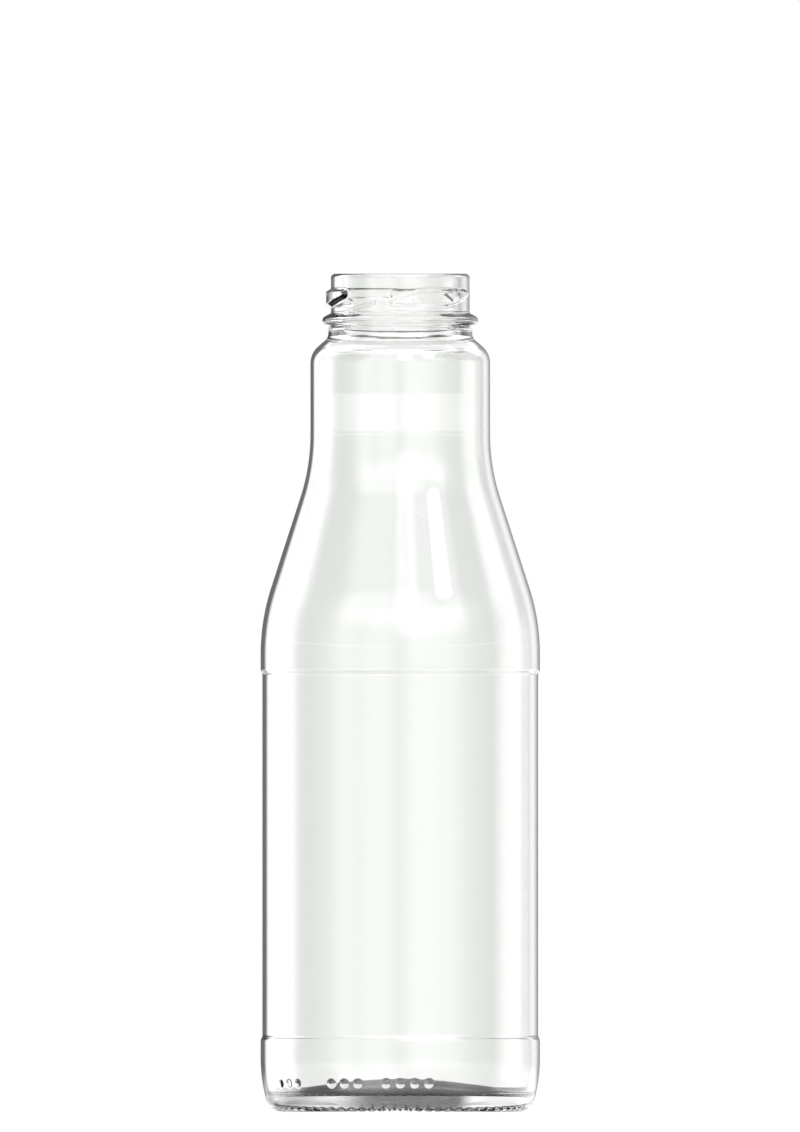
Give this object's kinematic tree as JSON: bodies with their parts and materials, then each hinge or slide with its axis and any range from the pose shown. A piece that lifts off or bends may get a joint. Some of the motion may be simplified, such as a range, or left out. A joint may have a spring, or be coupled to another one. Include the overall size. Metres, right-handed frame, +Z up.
{
  "type": "glass milk bottle",
  "caption": "Clear glass milk bottle with a wide twist-off mouth, beaded collar, straight bulged neck, long shoulder, recessed label panel and notched standing ring.",
  "frame": {"origin": "on the bottle's axis, on the plane it stands on", "axes": "+Z up the axis and out of the mouth, -Y is the front, where the middle of the row of mould dots is, +X to the right as seen from the front"},
  "size_m": [0.088, 0.088, 0.264],
  "materials": {
    "glass": "clear, polished by the blow mould"
  },
  "bodies": {
    "root": {"bottle": "glass"}
  },
  "joints": []
}
